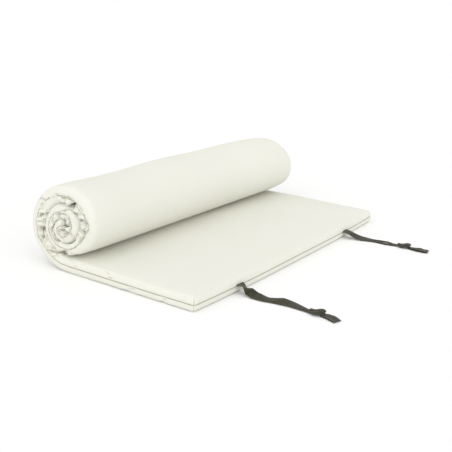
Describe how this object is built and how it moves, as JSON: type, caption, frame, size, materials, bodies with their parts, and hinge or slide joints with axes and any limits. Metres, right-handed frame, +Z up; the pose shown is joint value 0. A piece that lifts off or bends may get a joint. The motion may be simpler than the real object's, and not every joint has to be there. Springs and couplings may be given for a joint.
{
  "type": "futon mattress",
  "caption": "Partly rolled cotton floor mattress: a thin padded pad that unrolls flat, with two dark webbing ties sewn into the seam of its free end.",
  "frame": {"origin": "on the underside, on the floor, directly under the roll's axis and in the middle of the width", "axes": "+X along the mattress from the roll towards the free end with the ties, +Y along the width (the roll's axis), +Z up"},
  "size_m": [1.1577, 1.4, 0.32],
  "materials": {
    "cover": "matt closely woven undyed cotton",
    "wadding": "matt raw cotton felt",
    "webbing": "matt ribbed cotton webbing, dark olive"
  },
  "bodies": {
    "root": {"cover_top_panel": "cover", "cover_bottom_panel": "cover", "wadding_flat_1": "wadding", "wadding_flat_2": "wadding", "wadding_flat_3": "wadding", "tie_near_root": "webbing", "tie_far_root": "webbing"},
    "roll_01": {"cover_roll_01": "cover", "wadding_roll_01": "wadding"},
    "roll_02": {"cover_roll_02": "cover", "wadding_roll_02": "wadding"},
    "roll_03": {"cover_roll_03": "cover", "wadding_roll_03": "wadding"},
    "roll_04": {"cover_roll_04": "cover", "wadding_roll_04": "wadding"},
    "roll_05": {"cover_roll_05": "cover", "wadding_roll_05": "wadding"},
    "roll_06": {"cover_roll_06": "cover", "wadding_roll_06": "wadding"},
    "roll_07": {"cover_roll_07": "cover", "wadding_roll_07": "wadding"},
    "roll_core": {"cover_roll_08": "cover", "wadding_roll_08": "wadding", "cover_roll_09": "cover", "wadding_roll_09": "wadding", "cover_roll_10": "cover", "wadding_roll_10": "wadding", "cover_roll_11": "cover", "wadding_roll_11": "wadding", "cover_roll_12": "cover", "wadding_roll_12": "wadding", "cover_roll_13": "cover", "wadding_roll_13": "wadding", "cover_roll_14": "cover", "wadding_roll_14": "wadding", "cover_roll_15": "cover", "wadding_roll_15": "wadding", "cover_roll_16": "cover", "wadding_roll_16": "wadding", "cover_roll_17": "cover", "wadding_roll_17": "wadding", "cover_roll_18": "cover", "wadding_roll_18": "wadding", "cover_roll_19": "cover", "wadding_roll_19": "wadding", "cover_roll_20": "cover", "wadding_roll_20": "wadding", "cover_roll_21": "cover", "wadding_roll_21": "wadding", "cover_roll_22": "cover", "wadding_roll_22": "wadding"},
    "tie_near": {"tie_near_tape": "webbing", "tie_near_knot": "webbing", "tie_near_tail": "webbing"},
    "tie_far": {"tie_far_tape": "webbing", "tie_far_knot": "webbing", "tie_far_tail": "webbing"}
  },
  "joints": [
    {"name": "unroll_01", "type": "hinge", "parent": "root", "child": "roll_01", "pos_m": [-0.04841, 0, 0.011], "axis": [0, -1, 0], "range_deg": [0, 36]},
    {"name": "unroll_02", "type": "hinge", "parent": "roll_01", "child": "roll_02", "pos_m": [-0.12675, 0, 0.06791], "axis": [0, -1, 0], "range_deg": [0, 36]},
    {"name": "unroll_03", "type": "hinge", "parent": "roll_02", "child": "roll_03", "pos_m": [-0.15667, 0, 0.16], "axis": [0, -1, 0], "range_deg": [0, 36]},
    {"name": "unroll_04", "type": "hinge", "parent": "roll_03", "child": "roll_04", "pos_m": [-0.12675, 0, 0.25209], "axis": [0, -1, 0], "range_deg": [0, 36]},
    {"name": "unroll_05", "type": "hinge", "parent": "roll_04", "child": "roll_05", "pos_m": [-0.04841, 0, 0.309], "axis": [0, -1, 0], "range_deg": [0, 36]},
    {"name": "unroll_06", "type": "hinge", "parent": "roll_05", "child": "roll_06", "pos_m": [0.0577, 0, 0.309], "axis": [0, -1, 0], "range_deg": [0, 36]},
    {"name": "unroll_07", "type": "hinge", "parent": "roll_06", "child": "roll_07", "pos_m": [0.13319, 0, 0.25416], "axis": [0, -1, 0], "range_deg": [0, 36]},
    {"name": "unroll_08", "type": "hinge", "parent": "roll_07", "child": "roll_core", "pos_m": [0.15387, 0, 0.1905], "axis": [0, -1, 0], "range_deg": [0, 36]},
    {"name": "tie_near_lift", "type": "hinge", "parent": "root", "child": "tie_near", "pos_m": [0.62506, -0.452, 0.036], "axis": [0, -1, 0], "range_deg": [0, 170]},
    {"name": "tie_far_lift", "type": "hinge", "parent": "root", "child": "tie_far", "pos_m": [0.62506, 0.39, 0.036], "axis": [0, -1, 0], "range_deg": [0, 170]}
  ],
  "couplings": [
    {"joint": "unroll_02", "follows": "unroll_01", "ratio": 1},
    {"joint": "unroll_03", "follows": "unroll_01", "ratio": 1},
    {"joint": "unroll_04", "follows": "unroll_01", "ratio": 1},
    {"joint": "unroll_05", "follows": "unroll_01", "ratio": 1},
    {"joint": "unroll_06", "follows": "unroll_01", "ratio": 1},
    {"joint": "unroll_07", "follows": "unroll_01", "ratio": 1},
    {"joint": "unroll_08", "follows": "unroll_01", "ratio": 1}
  ]
}
